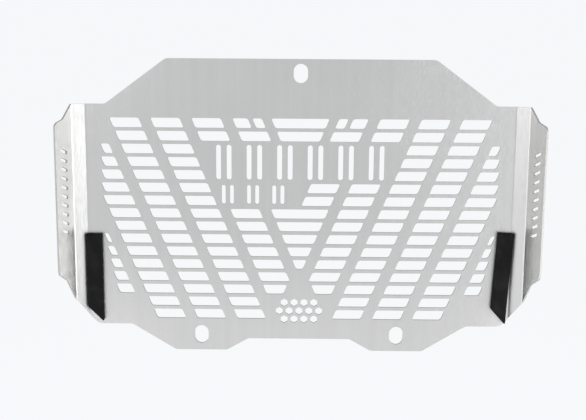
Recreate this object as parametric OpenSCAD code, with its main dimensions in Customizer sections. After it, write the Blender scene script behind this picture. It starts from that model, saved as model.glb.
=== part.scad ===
// Motorcycle radiator guard: one laser-cut and folded sheet with two foam
// strips stuck to its rear face. X runs across the bike, +Z is up and the
// radiator lies on the -Y side. The origin is the centre of the top mounting
// slot, on the rear face of the panel.

/* [Sheet] */
// Thickness of the sheet
sheet_t = 2; // [1:0.25:3]
// Inside radius of every fold
bend_r = 3; // [2:0.5:5]
// Radius of the outline's corners
corner_r = 7; // [2:0.5:10]

/* [Panel] */
// Flat width between the first folds
panel_w = 362; // [352:1:380]
// Top edge to the level lower edge at the sides
panel_h = 230; // [222:1:250]
// Length of the top edge
top_w = 227; // [180:1:260]
// Top edge down to the shoulders
shoulder_drop = 38.5; // [34:0.5:44]
// Width between the inner ends of the shoulders
shoulder_w = 331; // [300:1:346]
// Sideways run of the lower corner cut, on the panel
corner_run = 6; // [3:0.5:12]
// Rise of the lower corner cut, on the panel
corner_rise = 6; // [4:0.5:14]

/* [Lower edge] */
// Width between the inner ends of the level lower edges
base_w = 291; // [260:1:320]
// Lower edge of the sides down to the bottom of the ears
ear_drop = 23; // [18:0.5:30]
// Bottom width across both ears
ears_w = 215; // [202:1:240]
// Gap between the ears at their bottom
ears_gap = 125.5; // [110:0.5:140]
// Lower edge of the sides down to the edge between the ears
mid_drop = 12.5; // [8:0.5:16]
// Length of the edge between the ears
mid_w = 88.5; // [60:0.5:104]

/* [Folds and wings] */
// Angle of the first fold
fold_1 = 30; // [20:1:40]
// Flat width of the strip between the folds
strip_w = 10.5; // [8:0.5:16]
// Rise of the lower edge across both folds and the strip between them
strip_rise = 18.5; // [8:0.5:24]
// Angle of the second fold
fold_2 = 30; // [20:1:45]
// Flat width of the wing
wing_w = 19; // [15:0.5:26]
// How far from the second fold each end of the wing steps
wing_step = 9; // [6:0.5:11]
// Fall of the wing's top edge as far as the step
wing_top_fall = 12; // [6:0.5:20]
// Fall of the wing's top edge beyond the step
wing_top_tail = 3.5; // [1:0.5:8]
// Rise of the wing's lower edge as far as the step
wing_low_rise = 17; // [10:0.5:24]
// Rise of the wing's lower edge beyond the step
wing_low_tail = 7; // [2:0.5:12]
// Radius of the wing's free corners
wing_r = 5; // [2:0.5:7]
// Radius where the wing's ends step
step_r = 3; // [1:0.5:4]

/* [Mounting slots] */
// Width of a mounting slot
mount_w = 12; // [8:0.5:14]
// End-to-end length of a mounting slot
mount_l = 16; // [14.5:0.5:18]
// Centre of the top slot below the top edge
mount_top = 12; // [11:0.5:14]
// Distance between the two lower slots
mount_pitch = 170; // [160:1:180]
// Centre of a lower slot above the bottom of its ear
mount_low = 14; // [11:0.5:16]

/* [Slot field] */
// Centre of the first row below the top edge
row_first = 54; // [50:0.5:58]
// Centre of the last row above the level lower edge
row_last = 9.5; // [9:0.5:14]
// How far the slots of a row lie inward of those in the row above
row_shift = 4.67; // [4.2:0.01:4.9]
// Web between one row of slots and the next
row_web = 2.8; // [2.4:0.1:5]
// Distance from column to column
col_pitch = 34.8; // [34:0.1:36]
// Distance of the columns' common start from the centre line, in the first row
col_start = 8.7; // [7:0.1:9]
// Length of a slot at half its height
slot_l = 25; // [20:0.1:26.5]
// Radius in the blunt corners of a slot
slot_r_blunt = 2.5; // [1:0.1:3]
// Radius in the sharp corners of a slot
slot_r_sharp = 1.1; // [0.4:0.1:1.5]
// Half length of the middle slot in the first row
middle_half = 23; // [18:0.5:24]
// Web that splits the innermost slots of the first row
bridge_w = 3.9; // [3:0.1:8]
// Middle of that web, inward from the middle of the slot
bridge_in = 2.5; // [0:0.1:3]
// The outermost upper slots end at this distance from the centre line
field_edge = 168.4; // [164:0.1:170]
// Inner end of the last slots, beside the honeycomb, from the centre line
low_inner = 12; // [10:0.5:16]
// The outermost lower slots start their end line at this distance
low_edge = 166.8; // [165:0.1:168]
// How much that end line moves in from row to row
low_edge_step = 2.3; // [1.5:0.1:3]

/* [Upright slots] */
// Width of a tall upright slot
tall_w = 4.2; // [2:0.1:5.5]
// How much shorter a tall upright slot is than its three rows
tall_gap = 3.3; // [2.3:0.1:12]
// Distance between the two slots of a tall pair
tall_pair = 9; // [7.5:0.1:10]
// Distance from pair to pair
tall_pitch = 26; // [23:0.5:26.5]
// Width of a short upright slot
short_w = 3.3; // [2:0.1:4.5]
// How much shorter a short upright slot is than its two rows
short_gap = 5.7; // [4.2:0.1:12]
// Distance between the two slots of a short pair
short_pair = 7; // [6:0.1:8]
// Distance of the first short pair from the centre line
short_first = 18.5; // [14:0.5:20]
// Distance from one short pair to the next
short_pitch = 21.6; // [18:0.1:22.5]

/* [Honeycomb] */
// Distance across the flats of a hexagonal hole
hex_af = 6; // [3:0.1:7]
// Web between two hexagonal holes
hex_web = 2.6; // [1.5:0.1:4]
// Web between the honeycomb and the row of slots above it
hex_gap = 4.1; // [3:0.1:8]

/* [Wing vents] */
// Number of vents in a wing
vent_n = 10; // [6:1:11]
// Distance from vent to vent
vent_pitch = 7.6; // [6:0.1:8.4]
// Height of a vent
vent_h = 2.6; // [1.5:0.1:4]
// Length of a vent
vent_l = 8.5; // [5:0.5:10]
// Slope of a vent
vent_slope = 25; // [0:1:35]
// Middle of the vents above the middle of the wing
vent_up = 8; // [0:0.5:12]

/* [Foam strips] */
// Width of a foam strip
foam_w = 13.5; // [13:0.5:16]
// Thickness of a foam strip
foam_t = 5; // [3:0.5:8]
// Longest edge of the left-hand strip
foam_l_left = 77; // [60:1:78]
// Longest edge of the right-hand strip
foam_l_right = 80; // [60:1:81]
// How far the slanting cut runs across the strip
foam_cut = 12.5; // [8:0.5:12.5]
// Distance of a strip's outer edge past the start of the fold
foam_past = 2.25; // [0:0.25:3.5]
// Top of the left-hand strip below the shoulders
foam_drop_left = 111; // [104:1:112]
// Top of the right-hand strip below the shoulders
foam_drop_right = 108; // [104:1:110]
// Lean of the right-hand strip
foam_lean = 3; // [0:0.5:4]
// Radius of a strip's corners
foam_r = 1; // [0.2:0.2:2]

/* [Hidden] */
$fn = 48;

LAST_ROW = 15;
// The columns of full slots: column, first row, last row
COLUMNS = [[1, 0, 1], [2, 0, 1], [2, 7, 12], [3, 0, LAST_ROW], [4, 0, LAST_ROW], [5, 2, LAST_ROW]];
// Columns that only the right half has, beside the short upright slots
RIGHT_COLUMNS = [[1, 5, 6], [2, 5, 6]];
LOW_EDGE_ROWS = [9, 13];
TALL_ROWS = [2, 4];
SHORT_ROWS = [5, 6];
MIDDLE_ROWS = [7, 11];
HEX_ROWS = [4, 5, 4];

// Heights, counted from the centre of the top mounting slot
top_z = mount_top;
shoulder_z = top_z - shoulder_drop;
base_z = top_z - panel_h;
ear_z = base_z - ear_drop;
mid_z = base_z - mid_drop;
low_slot_z = ear_z + mount_low;
corner_z = base_z + corner_rise;
strip_low_z = corner_z + strip_rise;
field_z = top_z - row_first;
wing_top_z = shoulder_z - wing_top_fall;
wing_low_z = strip_low_z + wing_low_rise;
vent_z = (wing_top_z + wing_low_z) / 2 + vent_up;

half_w = panel_w / 2;
row_pitch = (panel_h - row_first - row_last) / LAST_ROW;
slot_h = row_pitch - row_web;
end_lean = slot_h / 2 * row_shift / row_pitch;
tall_rows = TALL_ROWS[1] - TALL_ROWS[0] + 1;
tall_h = tall_rows * row_pitch - tall_gap;
short_rows = SHORT_ROWS[1] - SHORT_ROWS[0] + 1;
short_h = short_rows * row_pitch - short_gap;
// How far a cutter reaches past what it cuts
over = 2;
// How far two cutters on a fold pass each other
FACET_LAP = 0.5;
// From the end of the second fold back to where its two outer faces would meet
lap_2 = (bend_r + sheet_t) * tan(fold_2 / 2);
// Flat facets round each fold
FOLD_STEPS = 6;
// Length of each fold along the middle of the sheet
arc_1 = (bend_r + sheet_t / 2) * fold_1 * PI / 180;
arc_2 = (bend_r + sheet_t / 2) * fold_2 * PI / 180;
low_slope = strip_rise / (arc_1 + strip_w + arc_2);
blank_w = wing_w + over;
blank_top = top_z + over;
blank_h = blank_top - ear_z + over;

// The share of an edge that one rounded corner may take up
ROOM = 0.48;
// Longest straight piece of a rounded corner
ARC_PIECE = 1.5;

// Points on an arc that rounds the corner b between a and c
function corner(a, b, c, r) =
    let (u = (a - b) / norm(a - b),
         v = (c - b) / norm(c - b),
         half = acos(u * v) / 2,
         room = ROOM * min(norm(a - b), norm(c - b)),
         run = min(r / tan(half), room),
         rr = run * tan(half),
         mid = b + (u + v) / norm(u + v) * rr / sin(half),
         from = b + u * run - mid,
         to = b + v * run - mid,
         start = atan2(from.y, from.x),
         sweep = (atan2(to.y, to.x) - start + 540) % 360 - 180,
         steps = max(1, ceil(rr * abs(sweep) * PI / 180 / ARC_PIECE)))
    r == 0 ? [b] :
    [for (i = [0:steps])
        let (turn = start + sweep * i / steps)
        mid + rr * [cos(turn), sin(turn)]];

// An outline with each corner rounded to its own radius
function rounded(pts, radii) =
    let (n = len(pts))
    [for (i = [0:n - 1]) each corner(pts[(i + n - 1) % n], pts[i], pts[(i + 1) % n], radii[i])];

function reversed(v) = [for (i = [len(v) - 1:-1:0]) v[i]];
function flipped(v) = [for (p = v) [-p.x, p.y]];
function plain(v) = [for (p = v) [p[0], p[1]]];
function radii_of(v) = [for (p = v) p[2]];

// One face of the folded section, from the first fold to the wing's free
// edge; r is the fold radius on that face
function folded_face(r) =
    let (steps = FOLD_STEPS,
         both = fold_1 + fold_2,
         c1 = [half_w, -bend_r],
         c2 = c1 + strip_w * [cos(fold_1), -sin(fold_1)])
    [for (i = [0:steps]) c1 + r * [sin(fold_1 * i / steps), cos(fold_1 * i / steps)],
     for (i = [0:steps])
         let (a = fold_1 + fold_2 * i / steps)
         c2 + r * [sin(a), cos(a)],
     c2 + r * [sin(both), cos(both)] + blank_w * [cos(both), -sin(both)]];

// The section of the whole sheet, seen from above
module section() {
    rear = folded_face(bend_r);
    front = folded_face(bend_r + sheet_t);
    polygon(concat(front, reversed(rear), flipped(rear), reversed(flipped(front))));
}

// Frames at the centres of the two folds
module at_fold_1()
    translate([half_w, -bend_r, 0])
        children();

module at_fold_2()
    on_strip()
        translate([strip_w, -bend_r, 0])
            children();

// Frames that lie on the rear face of the strip and of the wing
module on_strip()
    at_fold_1()
        rotate([0, 0, -fold_1])
            translate([0, bend_r, 0])
                children();

module on_wing()
    at_fold_2()
        rotate([0, 0, -fold_2])
            translate([0, bend_r, 0])
                children();

// A cutter that passes square through the sheet, drawn in X and Z
module through(rear = over, front = over)
    translate([0, sheet_t + front, 0])
        rotate([90, 0, 0])
            linear_extrude(sheet_t + rear + front)
                children();

module both_sides() {
    children();
    mirror([1, 0, 0]) children();
}

// The panel's outline. Past the first folds it stays open downward, where the
// strips and wings have cuts of their own.
module panel_outline() {
    reach = half_w + strip_w + blank_w + sheet_t + over;
    low = ear_z - 2 * over;
    half = [[top_w / 2, top_z, corner_r],
            [shoulder_w / 2, shoulder_z, corner_r],
            [reach, shoulder_z, 0],
            [reach, low, 0],
            [half_w, low, 0],
            [half_w, corner_z, 0],
            [half_w - corner_run, base_z, corner_r],
            [base_w / 2, base_z, corner_r],
            [ears_w / 2, ear_z, corner_r],
            [ears_gap / 2, ear_z, corner_r],
            [mid_w / 2, mid_z, corner_r]];
    polygon(concat(rounded_half(half), reversed(flipped(rounded_half(half)))));
}

// Half an outline that meets its mirror image on level edges
function rounded_half(half) =
    let (n = len(half),
         pts = concat([[0, half[0].y]], plain(half), [[0, half[n - 1].y]]),
         radii = radii_of(half))
    [for (i = [0:n - 1]) each corner(pts[i], pts[i + 1], pts[i + 2], radii[i])];

module panel_trim() {
    reach = half_w + strip_w + blank_w + sheet_t + 2 * over;
    difference() {
        translate([-reach, ear_z - 1.5 * over])
            square([2 * reach, blank_h + over]);
        panel_outline();
    }
}

// What is cut off below a slanting edge from one point to another
module below(x_from, z_from, x_to, z_to)
    polygon([[x_from, z_from],
             [x_to, z_to],
             [x_to, ear_z - 2 * over],
             [x_from, ear_z - 2 * over]]);

// Cuts below the slanting edge round a fold, facet by facet, from the frame
// at the fold's centre
module fold_trim(angle, arc, z_start) {
    turn = angle / FOLD_STEPS;
    rise = low_slope * arc / FOLD_STEPS;
    half = (bend_r + sheet_t + FACET_LAP) * tan(turn / 2);
    for (i = [0:FOLD_STEPS - 1])
        rotate([0, 0, -turn * (i + 0.5)])
            translate([0, bend_r, 0])
                through(rear = bend_r / 2)
                    below(-half, z_start + i * rise, half, z_start + (i + 1) * rise);
}

// Cuts below the strip and round the folds on both sides of it
module strip_trims() {
    z_1 = corner_z + low_slope * arc_1;
    z_2 = z_1 + low_slope * strip_w;
    at_fold_1() fold_trim(fold_1, arc_1, corner_z);
    on_strip() through() below(0, z_1, strip_w, z_2);
    at_fold_2() fold_trim(fold_2, arc_2, z_2);
}

// The wing's outline, in the wing's frame
module wing_outline() {
    top_slope = wing_top_fall / (lap_2 + wing_step);
    pts = [[-lap_2 - over, shoulder_z + over * top_slope],
           [wing_step, wing_top_z],
           [wing_w, wing_top_z - wing_top_tail],
           [wing_w, wing_low_z + wing_low_tail],
           [wing_step, wing_low_z],
           [0, strip_low_z],
           [0, ear_z - 3 * over],
           [-lap_2 - over, ear_z - 3 * over]];
    polygon(rounded(pts, [0, step_r, wing_r, wing_r, step_r, 0, 0, 0]));
}

module wing_trim()
    difference() {
        translate([-lap_2 - 0.5, ear_z - 2 * over])
            square([blank_w + lap_2 + 2 * over, blank_h + 2 * over]);
        wing_outline();
    }

// A raked slot between two distances from the centre line, at half height
module slot(inner, outer, inner_lean = 1) {
    top = slot_h / 2;
    pts = [[inner - end_lean * inner_lean, -top],
           [outer - end_lean, -top],
           [outer + end_lean, top],
           [inner + end_lean * inner_lean, top]];
    blunt = slot_r_blunt;
    sharp = slot_r_sharp;
    radii = inner_lean > 0 ? [sharp, blunt, sharp, blunt] : [blunt, blunt, sharp, sharp];
    polygon(rounded(pts, radii));
}

// A slot across the centre line
module middle_slot(half) {
    top = slot_h / 2;
    low = half - end_lean;
    high = half + end_lean;
    pts = [[-low, -top], [low, -top], [high, top], [-high, top]];
    radii = [slot_r_blunt, slot_r_blunt, slot_r_sharp, slot_r_sharp];
    polygon(rounded(pts, radii));
}

function column_at(column, row) = col_start + column * col_pitch - row * row_shift;
function low_edge_at(row) = low_edge - (row - LOW_EDGE_ROWS[0]) * low_edge_step;

module at_row(row)
    translate([0, field_z - row * row_pitch])
        children();

module columns(list)
    for (c = list, row = [c[1]:c[2]]) {
        mid = column_at(c[0], row);
        at_row(row)
            if (c[0] == 1 && row == 0) {
                slot(mid - slot_l / 2, mid - bridge_in - bridge_w / 2);
                slot(mid - bridge_in + bridge_w / 2, mid + slot_l / 2);
            } else
                slot(mid - slot_l / 2, min(mid + slot_l / 2, field_edge));
    }

// The slots of one half of the panel
module half_field() {
    columns(COLUMNS);
    for (row = [LOW_EDGE_ROWS[0]:LOW_EDGE_ROWS[1]])
        at_row(row)
            slot(column_at(6, row) - slot_l / 2, low_edge_at(row));
    // The slots above the honeycomb lean away from it
    last = LOW_EDGE_ROWS[1];
    at_row(last)
        slot(low_inner, column_at(2, last) + slot_l / 2, -1);
}

// An upright slot with round ends
module upright(w, h) {
    r = w / 2;
    pts = [[-r, -h / 2], [r, -h / 2], [r, h / 2], [-r, h / 2]];
    polygon(rounded(pts, [r, r, r, r]));
}

module upright_pair(w, h, pair)
    for (x = [-pair / 2, pair / 2])
        translate([x, 0])
            upright(w, h);

module tall_slots()
    at_row((TALL_ROWS[0] + TALL_ROWS[1]) / 2)
        for (i = [-2.5:2.5])
            translate([i * tall_pitch, 0])
                upright_pair(tall_w, tall_h, tall_pair);

module short_slots()
    at_row((SHORT_ROWS[0] + SHORT_ROWS[1]) / 2)
        for (i = [0:2])
            translate([-short_first - i * short_pitch, 0])
                upright_pair(short_w, short_h, short_pair);

module honeycomb() {
    pitch = hex_af + hex_web;
    rise = pitch * sin(60);
    hole = hex_af / cos(30);
    top = field_z - LOW_EDGE_ROWS[1] * row_pitch - slot_h / 2 - hex_gap - hole / 2;
    for (j = [0:len(HEX_ROWS) - 1], i = [0:HEX_ROWS[j] - 1])
        translate([(i - (HEX_ROWS[j] - 1) / 2) * pitch, top - j * rise])
            rotate(30)
                circle(d = hole, $fn = 6);
}

module field() {
    half_field();
    mirror([1, 0]) half_field();
    columns(RIGHT_COLUMNS);
    for (row = [0, 1])
        at_row(row)
            middle_slot(middle_half - row * row_shift);
    for (row = [MIDDLE_ROWS[0]:MIDDLE_ROWS[1]])
        at_row(row)
            middle_slot(column_at(1, row) + slot_l / 2);
    tall_slots();
    short_slots();
    honeycomb();
}

// An upright mounting slot with true half-round ends
module mounting_slot() {
    straight = mount_l - mount_w;
    for (s = [-0.5, 0.5])
        translate([0, s * straight])
            circle(d = mount_w);
    translate([-mount_w / 2, -straight / 2])
        square([mount_w, straight]);
}

module mounting_slots() {
    mounting_slot();
    for (s = [-0.5, 0.5])
        translate([s * mount_pitch, low_slot_z])
            mounting_slot();
}

// The slim vents of one wing, in the wing's frame
module wing_vents()
    for (i = [0:vent_n - 1])
        translate([wing_w / 2, vent_z + (i - (vent_n - 1) / 2) * vent_pitch])
            rotate(vent_slope)
                rotate(90)
                    upright(vent_h, vent_l);

module guard_sheet() {
    wing_depth = (strip_w + blank_w) + sheet_t;
    color("silver")
        difference() {
            translate([0, 0, blank_top - blank_h])
                linear_extrude(blank_h)
                    section();
            through(rear = wing_depth) panel_trim();
            through() field();
            through() mounting_slots();
            both_sides() strip_trims();
            both_sides() on_wing() through() wing_trim();
            both_sides() on_wing() through() wing_vents();
        }
}

// A foam strip's outline from its top outer corner, x inward. The slanting
// cut leaves the inner or the outer edge the longer one.
module foam_outline(length, long_edge) {
    low = -length + foam_cut;
    pts = long_edge == "outer"
        ? [[0, 0], [foam_w, 0], [foam_w, low], [foam_w - foam_cut, -length], [0, -length]]
        : [[0, 0], [foam_w, 0], [foam_w, -length], [foam_cut, -length], [0, low]];
    polygon(rounded(pts, [for (p = pts) foam_r]));
}

// A strip on the right half. It overhangs the start of the fold, so its back
// is relieved there.
module foam_strip(drop, length, lean, long_edge)
    color([0.11, 0.11, 0.11])
        difference() {
            translate([half_w + foam_past, 0, shoulder_z - drop])
                rotate([0, lean, 0])
                    mirror([1, 0, 0])
                        rotate([90, 0, 0])
                            linear_extrude(foam_t)
                                foam_outline(length, long_edge);
            translate([half_w, 0, ear_z])
                linear_extrude(blank_h)
                    polygon([[0, 0],
                             [2 * foam_w, -2 * foam_w * tan(fold_1)],
                             [2 * foam_w, over],
                             [0, over]]);
        }

module foam_strip_left()
    mirror([1, 0, 0]) foam_strip(foam_drop_left, foam_l_left, 0, "inner");

module foam_strip_right()
    foam_strip(foam_drop_right, foam_l_right, foam_lean, "outer");

guard_sheet();
foam_strip_left();
foam_strip_right();
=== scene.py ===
# %% [markdown]
# # Radiator guard for a motorcycle
# The real object is one stainless sheet, laser cut and folded, that stands in
# front of a radiator and keeps stones off it. Two foam strips are stuck on its
# rear face. The sheet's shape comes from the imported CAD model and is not
# changed here. This script gives the sheet its brushed finish, models the two
# foam strips as soft pieces, and sets up a plain product photograph.

import math

import bmesh
import bpy
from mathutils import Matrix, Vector


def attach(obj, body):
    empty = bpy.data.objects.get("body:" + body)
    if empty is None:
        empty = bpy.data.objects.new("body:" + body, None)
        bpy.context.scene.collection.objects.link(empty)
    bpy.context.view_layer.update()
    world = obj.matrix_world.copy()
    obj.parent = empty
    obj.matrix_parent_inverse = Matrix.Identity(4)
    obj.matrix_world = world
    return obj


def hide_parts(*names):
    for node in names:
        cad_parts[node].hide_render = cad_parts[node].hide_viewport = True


MM = 0.001

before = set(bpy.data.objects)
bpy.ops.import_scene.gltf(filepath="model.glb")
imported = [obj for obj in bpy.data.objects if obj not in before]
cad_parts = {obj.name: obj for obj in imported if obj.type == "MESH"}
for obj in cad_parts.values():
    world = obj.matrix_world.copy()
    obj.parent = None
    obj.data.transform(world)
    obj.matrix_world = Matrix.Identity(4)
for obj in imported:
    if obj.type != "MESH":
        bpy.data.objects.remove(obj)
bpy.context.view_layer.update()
bpy.context.scene.view_settings.view_transform = "Standard"
print("CAD nodes:", sorted(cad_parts))

# %% [markdown]
# ## The camera
# The photograph was taken from behind the guard and a little above it, so the
# wings come towards the camera. The viewing point was worked out from the
# places of more than a hundred slots in the photograph. A long lens keeps the
# guard's sides nearly parallel, so the camera stands well back.

# %% Place the camera
CAMERA_PLACE = (0.00026, -0.84403, 0.03237)
CAMERA_DEGREES = (80.03, -0.4, 0.483)
FOCAL_PIXELS = 1000.0
PHOTO_WIDTH = 586
SENSOR_MM = 36.0
NEAREST_SEEN = 10 * MM

camera_data = bpy.data.cameras.new("camera")
camera_data.sensor_width = SENSOR_MM
camera_data.sensor_fit = "HORIZONTAL"
camera_data.lens = FOCAL_PIXELS / PHOTO_WIDTH * SENSOR_MM
camera_data.clip_start = NEAREST_SEEN
camera = bpy.data.objects.new("camera", camera_data)
camera.location = CAMERA_PLACE
camera.rotation_euler = [math.radians(turn) for turn in CAMERA_DEGREES]
bpy.context.scene.collection.objects.link(camera)
bpy.context.scene.camera = camera
print("lens", round(camera_data.lens, 2), "mm")

# %% [markdown]
# ## Node graphs
# A node material is a graph: each node has inputs, and links carry values from
# one node to the next. Written out one by one, the links hide what the graph
# does. So a few small helpers add a node and feed it. What an input is fed is
# either a fixed value or another node's output.

# %% Add a node and feed its inputs


def add_node(tree, kind, title, **settings):
    node = tree.nodes.new(kind)
    node.label = title
    for key, value in settings.items():
        setattr(node, key, value)
    return node


def feed(tree, socket, value):
    """Puts a number, a direction, a colour or another node's output in."""
    if isinstance(value, bpy.types.NodeSocket):
        tree.links.new(value, socket)
    else:
        socket.default_value = value


def feed_named(tree, node, **values):
    """Feeds inputs by name, with _ for a space."""
    for name, value in values.items():
        feed(tree, node.inputs[name.replace("_", " ")], value)


print("helpers: add_node, feed, feed_named")

# %% Calculate with numbers and directions


def add_math(tree, title, operation, *values):
    node = add_node(tree, "ShaderNodeMath", title, operation=operation)
    for socket, value in zip(node.inputs, values):
        feed(tree, socket, value)
    return node.outputs[0]


def add_vector_math(tree, title, operation, *values):
    node = add_node(tree, "ShaderNodeVectorMath", title, operation=operation)
    for socket, value in zip(node.inputs, values):
        feed(tree, socket, value)
    return node


print("helpers: add_math, add_vector_math")

# %% [markdown]
# ## Node groups
# An effect such as brushing takes many nodes. As a group, a graph of its own
# with named inputs and outputs, it can serve several materials, each with its
# own amounts. The groups here put out masks and directions only, and each
# material decides what they do to its colour and its shine.

# %% Start a group and add noise


def new_group(name, inputs, outputs):
    """Returns a group's tree and the nodes with its inputs and its outputs."""
    tree = bpy.data.node_groups.new(name, "ShaderNodeTree")
    for title, kind, default in inputs:
        socket = tree.interface.new_socket(title, in_out="INPUT", socket_type=kind)
        if default is not None:
            socket.default_value = default
    for title, kind in outputs:
        tree.interface.new_socket(title, in_out="OUTPUT", socket_type=kind)
    return (tree, add_node(tree, "NodeGroupInput", "in"),
            add_node(tree, "NodeGroupOutput", "out"))


def add_noise(tree, title, **values):
    noise = add_node(tree, "ShaderNodeTexNoise", title)
    feed_named(tree, noise, **values)
    return noise.outputs["Fac"]


print("helpers: new_group, add_noise")

# %% [markdown]
# ## Brushed grain
# A sanding belt leaves short parallel scratches of different depths. Noise
# that is squeezed across the brushing and stretched along it looks like them.
# The group puts out fine scratches for the roughness, and broad faint bands
# for the small changes in brightness that a large brushed sheet always has.
# Each scratch is a tiny groove whose walls look left and right, and that is
# what smears every reflection sideways. The grooves are finer than a pixel,
# where a bump would fade away, so the group tilts the normal itself.

# %% Stretch the noise and lean the normal
MIDDLE_OF_NOISE = 0.5


def stretch_upward(tree, place, stretch):
    """Squeezes the place along Z, so that noise comes out long there."""
    squeeze = add_node(tree, "ShaderNodeCombineXYZ", "long along Z")
    feed_named(tree, squeeze, X=1.0, Y=1.0,
               Z=add_math(tree, "one over stretch", "DIVIDE", 1.0, stretch))
    along = add_vector_math(tree, "stretched place", "MULTIPLY", place, squeeze.outputs[0])
    return along.outputs[0]


def lean_sideways(tree, normal, depth, tilt):
    """Leans the normal left or right by the depth of the scratch there."""
    sideways = add_vector_math(tree, "across the grain", "CROSS_PRODUCT", (0, 0, 1), normal)
    wall = add_math(tree, "left or right wall", "SUBTRACT", depth, MIDDLE_OF_NOISE)
    lean = add_vector_math(tree, "lean", "SCALE", sideways.outputs[0])
    feed(tree, lean.inputs["Scale"], add_math(tree, "tilt", "MULTIPLY", wall, tilt))
    total = add_vector_math(tree, "leaning normal", "ADD", normal, lean.outputs[0])
    return add_vector_math(tree, "unit length", "NORMALIZE", total.outputs[0]).outputs[0]


print("helpers: stretch_upward, lean_sideways")

# %% Build the brushed grain group
SCRATCH_DETAIL = 3.0
BAND_DETAIL = 2.0
GRAIN_ROUGHNESS = 0.6


def build_brushed_grain():
    tree, inputs, outputs = new_group(
        "Brushed grain",
        [("Place", "NodeSocketVector", None),
         ("Scratches per metre", "NodeSocketFloat", 9000.0),
         ("Bands per metre", "NodeSocketFloat", 140.0),
         ("Stretch", "NodeSocketFloat", 60.0),
         ("Sideways tilt", "NodeSocketFloat", 0.7),
         ("Surface normal", "NodeSocketVector", None)],
        [("Scratches", "NodeSocketFloat"),
         ("Bands", "NodeSocketFloat"),
         ("Grooved normal", "NodeSocketVector")])
    given = inputs.outputs
    along = stretch_upward(tree, given["Place"], given["Stretch"])
    scratches = add_noise(tree, "scratches", Vector=along, Scale=given["Scratches per metre"],
                          Detail=SCRATCH_DETAIL, Roughness=GRAIN_ROUGHNESS)
    bands = add_noise(tree, "bands", Vector=along, Scale=given["Bands per metre"],
                      Detail=BAND_DETAIL, Roughness=GRAIN_ROUGHNESS)
    grooved = lean_sideways(tree, given["Surface normal"], scratches, given["Sideways tilt"])
    feed_named(tree, outputs, Scratches=scratches, Bands=bands, Grooved_normal=grooved)
    return tree


brushed_grain = build_brushed_grain()
print("group:", brushed_grain.name)

# %% [markdown]
# ## Handling marks
# Sheet and foam both pick up faint cloudy marks from hands and packing. Noise
# with several sizes of detail in it, cut off softly, gives patches with ragged
# borders. One group serves both finishes, each with its own size.

# %% Build the handling marks group
MARK_DETAIL = 5.0
MARK_ROUGHNESS = 0.55
MARK_DISTORTION = 0.6
MARK_BORDER = (0.42, 0.66)


def add_range(tree, title, value, span, results=(0.0, 1.0), shape="LINEAR"):
    """Carries the span of a value over to a span of results."""
    node = add_node(tree, "ShaderNodeMapRange", title, interpolation_type=shape)
    feed_named(tree, node, Value=value, From_Min=span[0], From_Max=span[1],
               To_Min=results[0], To_Max=results[1])
    return node.outputs["Result"]


def build_handling_marks():
    tree, inputs, outputs = new_group(
        "Handling marks",
        [("Place", "NodeSocketVector", None),
         ("Marks per metre", "NodeSocketFloat", 16.0)],
        [("Marks", "NodeSocketFloat")])
    given = inputs.outputs
    cloud = add_noise(tree, "cloud", Vector=given["Place"], Scale=given["Marks per metre"],
                      Detail=MARK_DETAIL, Roughness=MARK_ROUGHNESS,
                      Distortion=MARK_DISTORTION)
    feed_named(tree, outputs,
               Marks=add_range(tree, "soft borders", cloud, MARK_BORDER, shape="SMOOTHSTEP"))
    return tree


handling_marks = build_handling_marks()
print("group:", handling_marks.name)

# %% [markdown]
# ## Cut faces
# A laser leaves the edge of each hole and of the outline darker and rougher
# than the brushed faces, with fine ridges from one face to the other. To find
# those edges, the group works out which way the sheet's own face looks at
# each place: straight back on the panel, turned by one fold on the strip and
# by two folds on the wing. A surface that looks along the sheet instead is a
# cut.

# %% Work out which way the sheet looks
FOLDS = ((181.0 * MM, 183.3 * MM), (191.8 * MM, 194.2 * MM))
FOLD_DEGREES = 30
FOLD_TURN = math.radians(FOLD_DEGREES)


def sheet_direction(tree, place):
    """The way the sheet's own face looks, from how far out the place is."""
    split = add_node(tree, "ShaderNodeSeparateXYZ", "place")
    feed(tree, split.inputs[0], place)
    out_from_middle = add_math(tree, "distance from the middle", "ABSOLUTE",
                               split.outputs["X"])
    turns = [add_range(tree, "turn of fold %d" % number, out_from_middle,
                       span, (0.0, FOLD_TURN))
             for number, span in enumerate(FOLDS, 1)]
    angle = add_math(tree, "both folds", "ADD", *turns)
    side = add_math(tree, "left or right", "SIGN", split.outputs["X"])
    own = add_node(tree, "ShaderNodeCombineXYZ", "the sheet's own direction")
    feed_named(tree, own,
               X=add_math(tree, "inward part", "MULTIPLY",
                          add_math(tree, "sine", "SINE", angle), side),
               Y=add_math(tree, "backward part", "COSINE", angle))
    return own.outputs[0]


print("the wings look", len(FOLDS) * FOLD_DEGREES, "degrees away from the panel")

# %% Build the cut face group
FACE_MATCH = 0.75
CUT_MATCH = 0.5
RIDGES_PER_METRE = 3200.0
RIDGE_DETAIL = 2.0
LONG_THROUGH_SHEET = (1.0, 0.08, 1.0)


def build_cut_face():
    tree, inputs, outputs = new_group(
        "Cut face",
        [("Place", "NodeSocketVector", None),
         ("Surface normal", "NodeSocketVector", None)],
        [("Cut", "NodeSocketFloat"),
         ("Ridges", "NodeSocketFloat")])
    given = inputs.outputs
    match = add_vector_math(tree, "match", "DOT_PRODUCT", given["Surface normal"],
                            sheet_direction(tree, given["Place"]))
    either_face = add_math(tree, "front or rear", "ABSOLUTE", match.outputs["Value"])
    across = add_vector_math(tree, "ridges run across", "MULTIPLY",
                             given["Place"], LONG_THROUGH_SHEET)
    feed_named(tree, outputs,
               Cut=add_range(tree, "cut", either_face, (FACE_MATCH, CUT_MATCH),
                             shape="SMOOTHSTEP"),
               Ridges=add_noise(tree, "ridges", Vector=across.outputs[0],
                                Scale=RIDGES_PER_METRE, Detail=RIDGE_DETAIL))
    return tree


cut_face = build_cut_face()
print("group:", cut_face.name)

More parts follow.
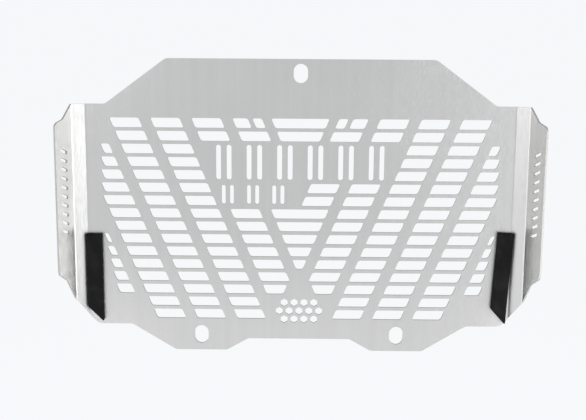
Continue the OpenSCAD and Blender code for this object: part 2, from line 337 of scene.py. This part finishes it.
# %% [markdown]
# ## The sheet's finish
# Brushed stainless is a metal all over, so Metallic stays at one and the
# colour is the metal's own grey, a trace warmer than the cool studio that it
# reflects. The bands move that grey a little. The scratches move the roughness
# and lean the normal, which spreads reflections sideways as real brushing
# does. Handling marks make the sheet slightly duller. The cut faces get a
# darker, rougher metal, and they alone get a bump, for their ridges.

# %% Tones and masks


def add_tones(tree, title, value, *stops):
    """A colour ramp with two stops, each with its place and its colour."""
    ramp = add_node(tree, "ShaderNodeValToRGB", title)
    for element, (place, colour) in zip(ramp.color_ramp.elements, stops):
        element.position = place
        element.color = colour
    feed(tree, ramp.inputs["Fac"], value)
    return ramp.outputs["Color"]


def add_blend(tree, title, kind, share, first, second):
    """Mixes two colours or two numbers by a mask."""
    mix = add_node(tree, "ShaderNodeMix", title, data_type=kind)
    # A mix node has its own two inputs and its own output for each kind.
    first_place, second_place, result = {"FLOAT": (2, 3, 0), "RGBA": (6, 7, 2)}[kind]
    feed(tree, mix.inputs[0], share)
    feed(tree, mix.inputs[first_place], first)
    feed(tree, mix.inputs[second_place], second)
    return mix.outputs[result]


print("helpers: add_tones, add_blend")

# %% Colour, roughness and normal of the stainless sheet
BAND_TONES = ((0.3, (0.537, 0.534, 0.524, 1)), (0.7, (0.563, 0.56, 0.549, 1)))
CUT_COLOUR = (0.34, 0.335, 0.325, 1)
SCRATCH_SPAN = (0.3, 0.7)
BRUSHED_ROUGHNESS = (0.28, 0.36)
DULLER_BY_MARKS = 0.035
CUT_ROUGHNESS = 0.58
RIDGE_DEPTH = 0.08 * MM


def stainless_colour(tree, grain, edge):
    tone = add_tones(tree, "band tone", grain.outputs["Bands"], *BAND_TONES)
    return add_blend(tree, "darker cuts", "RGBA", edge.outputs["Cut"], tone, CUT_COLOUR)


def stainless_roughness(tree, grain, marks, edge):
    brushed = add_range(tree, "roughness of the brushing", grain.outputs["Scratches"],
                        SCRATCH_SPAN, BRUSHED_ROUGHNESS)
    handled = add_math(tree, "marks are duller", "MULTIPLY_ADD",
                       marks.outputs["Marks"], DULLER_BY_MARKS, brushed)
    return add_blend(tree, "rougher cuts", "FLOAT", edge.outputs["Cut"],
                     handled, CUT_ROUGHNESS)


def stainless_normal(tree, grain, edge):
    bump = add_node(tree, "ShaderNodeBump", "ridge depth")
    feed_named(tree, bump, Distance=RIDGE_DEPTH, Strength=edge.outputs["Cut"],
               Height=edge.outputs["Ridges"], Normal=grain.outputs["Grooved normal"])
    return bump.outputs["Normal"]


print("brushed roughness", *BRUSHED_ROUGHNESS, "and", CUT_ROUGHNESS, "on the cuts")

# %% Brushed stainless


def new_material(name):
    material = bpy.data.materials.new(name)
    material.use_nodes = True
    material.node_tree.nodes.clear()
    return material


def build_brushed_sheet():
    material = new_material("brushed_stainless")
    tree = material.node_tree
    place = add_node(tree, "ShaderNodeTexCoord", "place").outputs["Object"]
    shape = add_node(tree, "ShaderNodeNewGeometry", "surface")
    grain = add_node(tree, "ShaderNodeGroup", "grain", node_tree=brushed_grain)
    marks = add_node(tree, "ShaderNodeGroup", "marks", node_tree=handling_marks)
    edge = add_node(tree, "ShaderNodeGroup", "cut edges", node_tree=cut_face)
    for group in (grain, marks, edge):
        feed_named(tree, group, Place=place)
    feed_named(tree, grain, Surface_normal=shape.outputs["Normal"])
    feed_named(tree, edge, Surface_normal=shape.outputs["True Normal"])
    metal = add_node(tree, "ShaderNodeBsdfPrincipled", "metal")
    feed_named(tree, metal, Metallic=1.0,
               Base_Color=stainless_colour(tree, grain, edge),
               Roughness=stainless_roughness(tree, grain, marks, edge),
               Normal=stainless_normal(tree, grain, edge))
    out = add_node(tree, "ShaderNodeOutputMaterial", "out")
    feed_named(tree, out, Surface=metal.outputs["BSDF"])
    return material


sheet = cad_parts["guard_sheet"]
sheet.data.materials.clear()
sheet.data.materials.append(build_brushed_sheet())
print("sheet faces:", len(sheet.data.polygons))

# %% [markdown]
# ## The foam's finish
# The strips are black closed-cell rubber foam. It is matt, and a close look
# shows tiny cells of different sizes, some of them cut open. Handling leaves
# it a little greyer in patches. The cells are far too small and too many to
# model, so a cell pattern moves the colour and a bump.

# %% Black closed-cell foam
CELLS_PER_METRE = 1500.0
FOAM_MARKS_PER_METRE = 70.0
WALL_TONES = ((0.1, (0.006, 0.006, 0.0064, 1)), (0.6, (0.01, 0.01, 0.0104, 1)))
HANDLED_FOAM = (0.015, 0.015, 0.0154, 1)
CELL_STRENGTH = 0.6
CELL_DEPTH = 0.1 * MM
FOAM_ROUGHNESS = 0.92
FOAM_SPECULAR = 0.12


def build_foam():
    material = new_material("black_foam")
    tree = material.node_tree
    place = add_node(tree, "ShaderNodeTexCoord", "place").outputs["Object"]
    cells = add_node(tree, "ShaderNodeTexVoronoi", "cells")
    feed_named(tree, cells, Vector=place, Scale=CELLS_PER_METRE)
    marks = add_node(tree, "ShaderNodeGroup", "marks", node_tree=handling_marks)
    feed_named(tree, marks, Place=place, Marks_per_metre=FOAM_MARKS_PER_METRE)
    walls = add_tones(tree, "cell walls", cells.outputs["Distance"], *WALL_TONES)
    tone = add_blend(tree, "handled patches", "RGBA", marks.outputs["Marks"],
                     walls, HANDLED_FOAM)
    bump = add_node(tree, "ShaderNodeBump", "cell depth")
    feed_named(tree, bump, Strength=CELL_STRENGTH, Distance=CELL_DEPTH,
               Height=cells.outputs["Distance"])
    rubber = add_node(tree, "ShaderNodeBsdfPrincipled", "rubber")
    feed_named(tree, rubber, Base_Color=tone, Roughness=FOAM_ROUGHNESS,
               Specular_IOR_Level=FOAM_SPECULAR, Normal=bump.outputs["Normal"])
    out = add_node(tree, "ShaderNodeOutputMaterial", "out")
    feed_named(tree, out, Surface=rubber.outputs["BSDF"])
    return material


foam_finish = build_foam()
print("foam finish:", foam_finish.name)

# %% [markdown]
# ## The foam strips
# Each strip is a length of flat foam, cut square at the top and at a slant at
# the bottom. It starts as a box that is a little thin. Bisect cuts the slant.
# An inset of the rear face, pushed outward, gives the soft foam its crown.
# Bisect then takes off the part that would stand past the fold.

# %% Sizes of the strips
TOP_EDGE_MM = 12
SHOULDER_DROP_MM = 38.5
SHOULDER_Z = (TOP_EDGE_MM - SHOULDER_DROP_MM) * MM
FOLD_X = FOLDS[0][0]
FOAM_WIDTH = 13.5 * MM
FOAM_THICK = 5 * MM
FOAM_CUT = 12.5 * MM
FOAM_PAST = 2.25 * MM
CROWN = 0.7 * MM
CROWN_INSET = 3.2 * MM
print("a strip is", round(FOAM_WIDTH / MM, 1), "mm wide and",
      round(FOAM_THICK / MM, 1), "mm thick")

# %% Cut and crown a mesh in edit mode
LOOKS_BACK = -0.9


def cut(point, normal):
    """Takes away what lies beyond a plane, and closes the cut."""
    bpy.ops.mesh.select_all(action="SELECT")
    bpy.ops.mesh.bisect(plane_co=point, plane_no=normal, use_fill=True, clear_outer=True)


def crown_rear_face(block):
    shape = bmesh.from_edit_mesh(block.data)
    for face in shape.faces:
        face.select = face.normal.y < LOOKS_BACK
    bmesh.update_edit_mesh(block.data)
    bpy.ops.mesh.inset(thickness=CROWN_INSET, depth=0)
    bpy.ops.transform.translate(value=(0, -CROWN, 0))


print("crown", round(CROWN / MM, 1), "mm high")

# %% Make both strips


def deselect_all():
    for thing in bpy.context.selected_objects:
        thing.select_set(False)


def foam_block(name, side, drop, length, lean, cut_outward):
    """Side is -1 or 1, drop and length are in mm, and lean is in degrees."""
    deselect_all()
    outer = side * (FOLD_X + FOAM_PAST)
    inner = outer - side * FOAM_WIDTH
    top = SHOULDER_Z - drop * MM
    bottom = top - length * MM
    thick = FOAM_THICK - CROWN
    bpy.ops.mesh.primitive_cube_add(
        size=1,
        location=((outer + inner) / 2, -thick / 2, (top + bottom) / 2),
        scale=(FOAM_WIDTH, thick, length * MM))
    block = bpy.context.object
    block.name = name
    bpy.ops.object.transform_apply(location=True, rotation=True, scale=True)
    bpy.ops.object.mode_set(mode="EDIT")
    # The slanting cut is at 45 degrees. It takes away the corner below it.
    across = side if cut_outward else -side
    tip = outer - side * FOAM_CUT if cut_outward else inner + side * FOAM_CUT
    cut((tip, 0, bottom), (across, 0, -1))
    crown_rear_face(block)
    if lean:
        bpy.ops.mesh.select_all(action="SELECT")
        bpy.ops.transform.rotate(value=-math.radians(lean), orient_axis="Y",
                                 center_override=(outer, 0, top))
    # The back of the overhang lies along the fold.
    cut((side * FOLD_X, 0, 0), (side * math.sin(FOLD_TURN), math.cos(FOLD_TURN), 0))
    bpy.ops.object.mode_set(mode="OBJECT")
    return block


def reach(piece):
    """The lowest and the highest place of a mesh along each axis, in mm."""
    corners = [vertex.co for vertex in piece.data.vertices]
    return [[round(end(corner[axis] for corner in corners) / MM, 1) for axis in range(3)]
            for end in (min, max)]


left_strip = foam_block("foam_left", side=-1, drop=111, length=77, lean=0,
                        cut_outward=True)
right_strip = foam_block("foam_right", side=1, drop=108, length=80, lean=3,
                         cut_outward=False)
for strip in (left_strip, right_strip):
    lowest, highest = reach(strip)
    print(strip.name, "from", lowest, "to", highest, "mm")

# %% [markdown]
# ## Soft edges
# A knife rounds the edges of foam a little as it presses them down. A bevel
# could do that too, but it would need every edge that the cuts made, picked
# one by one. A remesh gives small even faces all over instead, and smoothing
# then rounds every edge at once.

# %% Round the strips
VOXEL = 0.5 * MM
SMOOTH_SHARE = 0.5
SMOOTH_STEPS = 5


def soften(block):
    deselect_all()
    block.select_set(True)
    bpy.context.view_layer.objects.active = block
    remesh = block.modifiers.new("even faces", "REMESH")
    remesh.mode = "VOXEL"
    remesh.voxel_size = VOXEL
    bpy.ops.object.modifier_apply(modifier=remesh.name)
    smooth = block.modifiers.new("knife-soft edges", "SMOOTH")
    smooth.factor = SMOOTH_SHARE
    smooth.iterations = SMOOTH_STEPS
    bpy.ops.object.modifier_apply(modifier=smooth.name)
    bpy.ops.object.shade_smooth()


for strip in (left_strip, right_strip):
    soften(strip)
    strip.data.materials.clear()
    strip.data.materials.append(foam_finish)
    print(strip.name, "faces:", len(strip.data.polygons))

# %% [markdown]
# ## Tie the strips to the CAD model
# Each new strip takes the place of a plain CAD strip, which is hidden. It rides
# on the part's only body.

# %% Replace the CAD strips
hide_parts("foam_strip_left")
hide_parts("foam_strip_right")
for strip in (left_strip, right_strip):
    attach(strip, "root")
    print(strip.name, "is in place")

# %% [markdown]
# ## The studio
# A product photograph of this kind is made on a pale sweep under large soft
# boxes. Here the floor and the world are seen in one pale tone, so no horizon
# shows. The Light Path node tells rays apart: the camera and reflections see
# the full pale tone, and the rays that light the guard find a softer world.

# %% Levels of the sweep
PALE = (0.921, 0.939, 0.956, 1)
SOFT_LEVEL = 0.4
SEEN_LEVEL = 1.0
PAINT_SHARE = 0.06
# The glow makes up for the light that the paint lacks far from the lamps.
GLOW_LEVEL = (SEEN_LEVEL - PAINT_SHARE * SOFT_LEVEL) / (1 - PAINT_SHARE)
print("the sweep glows at", round(GLOW_LEVEL, 3))

# %% Lay the floor
FLOOR_Z = -0.36
FLOOR_SIZE = 8


def camera_or_glossy(tree):
    """One for rays from the camera or from a reflection, else nought."""
    rays = add_node(tree, "ShaderNodeLightPath", "rays")
    seen = add_node(tree, "ShaderNodeMath", "camera or glossy", operation="ADD", use_clamp=True)
    feed(tree, seen.inputs[0], rays.outputs["Is Camera Ray"])
    feed(tree, seen.inputs[1], rays.outputs["Is Glossy Ray"])
    return seen.outputs[0]


def build_pale_sweep():
    material = new_material("pale_sweep")
    tree = material.node_tree
    paint = add_node(tree, "ShaderNodeBsdfDiffuse", "paint")
    feed_named(tree, paint, Color=PALE)
    glow = add_node(tree, "ShaderNodeEmission", "seen as pale")
    feed_named(tree, glow, Color=PALE, Strength=GLOW_LEVEL)
    mix = add_node(tree, "ShaderNodeMixShader", "mix")
    feed(tree, mix.inputs["Fac"],
         add_math(tree, "share", "MULTIPLY", camera_or_glossy(tree), 1 - PAINT_SHARE))
    feed(tree, mix.inputs[1], paint.outputs[0])
    feed(tree, mix.inputs[2], glow.outputs[0])
    out = add_node(tree, "ShaderNodeOutputMaterial", "out")
    feed_named(tree, out, Surface=mix.outputs[0])
    return material


deselect_all()
bpy.ops.mesh.primitive_plane_add(size=FLOOR_SIZE, location=(0, 0, FLOOR_Z))
floor = bpy.context.object
floor.name = "floor"
floor.data.materials.append(build_pale_sweep())
print("floor at", FLOOR_Z, "m")

# %% [markdown]
# ## The world
# In a real studio the pale walls fill every shadow with soft light. The world
# stands for those walls: it lights the guard evenly in white, and shows the
# sweep's pale tone where it is seen.

# %% Fill the world
WHITE = (1, 1, 1, 1)

world = bpy.data.worlds.new("studio")
bpy.context.scene.world = world
world.use_nodes = True
air = world.node_tree
air.nodes.clear()
soft = add_node(air, "ShaderNodeBackground", "soft light")
feed_named(air, soft, Color=WHITE, Strength=SOFT_LEVEL)
seen = add_node(air, "ShaderNodeBackground", "what is seen")
feed_named(air, seen, Color=PALE, Strength=SEEN_LEVEL)
choose = add_node(air, "ShaderNodeMixShader", "choose")
feed(air, choose.inputs["Fac"], camera_or_glossy(air))
feed(air, choose.inputs[1], soft.outputs[0])
feed(air, choose.inputs[2], seen.outputs[0])
sky = add_node(air, "ShaderNodeOutputWorld", "out")
feed_named(air, sky, Surface=choose.outputs[0])
print("world strength", round(soft.inputs["Strength"].default_value, 2))

# %% [markdown]
# ## Soft boxes
# A folded sheet shows its folds only because each face mirrors another part of
# the studio, whose front is here the end with the camera. The panel mirrors
# what is behind the camera. The left strip mirrors the front right corner, and
# the right strip the front left corner. The wings mirror the sides. So each of
# these places gets a soft box, and the brightness of each was worked out from
# renders with one lamp at a time. The left strip is the whitest face in the
# photograph, and the boxes on the right make it so. The boxes reach down
# almost to the floor, because the camera looks down a little and so the sheet
# mirrors what is low.

# %% Build a soft box
BOX_SPREAD = 130


def soft_box(name, turn, away, height, width, tall, brightness, spread=BOX_SPREAD):
    """An area lamp, as bright in a mirror as a surface of that level.

    It hangs at a turn in degrees from straight behind the camera, positive to
    the right, and looks level at the guard's middle line. A spread below 180
    degrees keeps its light off the floor at its foot.
    """
    data = bpy.data.lights.new(name, "AREA")
    data.shape = "RECTANGLE"
    data.size = width
    data.size_y = tall
    half = math.radians(spread) / 2
    data.spread = 2 * half
    # With less spread, the same power is brighter straight ahead.
    data.energy = brightness * math.pi * width * tall * (1 - half / math.tan(half))
    lamp = bpy.data.objects.new(name, data)
    side = math.sin(math.radians(turn))
    back = math.cos(math.radians(turn))
    lamp.location = (away * side, -away * back, height)
    lamp.rotation_euler = Vector((-side, back, 0)).to_track_quat("-Z", "Y").to_euler()
    lamp.visible_camera = False
    bpy.context.scene.collection.objects.link(lamp)
    print(name, round(data.energy, 2), "W")
    return lamp


print("soft boxes spread their light over", BOX_SPREAD, "degrees")

# %% Hang the soft boxes
# A row holds the name, the turn, the distance, the height above the origin,
# the width and the height of the box, and its brightness.
BOXES = (("right front box", 50, 0.85, 0.28, 0.45, 0.5, 2.1),
         ("right front low box", 50, 0.75, -0.15, 0.4, 0.36, 1.75),
         ("right side box", 78, 0.7, -0.1, 0.4, 0.5, 2.8),
         ("left front box", -50, 0.85, 0.28, 0.45, 0.5, 4.2),
         ("left front low box", -50, 0.75, -0.15, 0.4, 0.36, 0.42),
         ("left side box", -78, 0.7, -0.1, 0.4, 0.5, 1.0))
for row in BOXES:
    soft_box(*row)

# %% [markdown]
# ## Cards on the floor
# The camera looks down on the lower half of the guard, so the wings and the
# ears mirror the floor there. Three pale cards lie on it and look up: one
# before the ears and one at each side, for the wings. They stay on the
# camera's side of the panel, so the front face doesn't mirror them.

# %% Lay the cards
CARD_LIFT = 8 * MM
CARD_SPREAD = 180
# A row holds the name, the turn, the distance, the width, the depth and the
# brightness.
CARDS = (("middle card", -15, 0.39, 0.5, 0.45, 0.33),
         ("left card", -73, 0.52, 0.5, 0.26, 2.2),
         ("right card", 73, 0.52, 0.5, 0.26, 4.0))
for name, turn, away, width, deep, brightness in CARDS:
    card = soft_box(name, turn, away, FLOOR_Z + CARD_LIFT, width, deep, brightness,
                    CARD_SPREAD)
    card.rotation_euler = (math.pi, 0, 0)
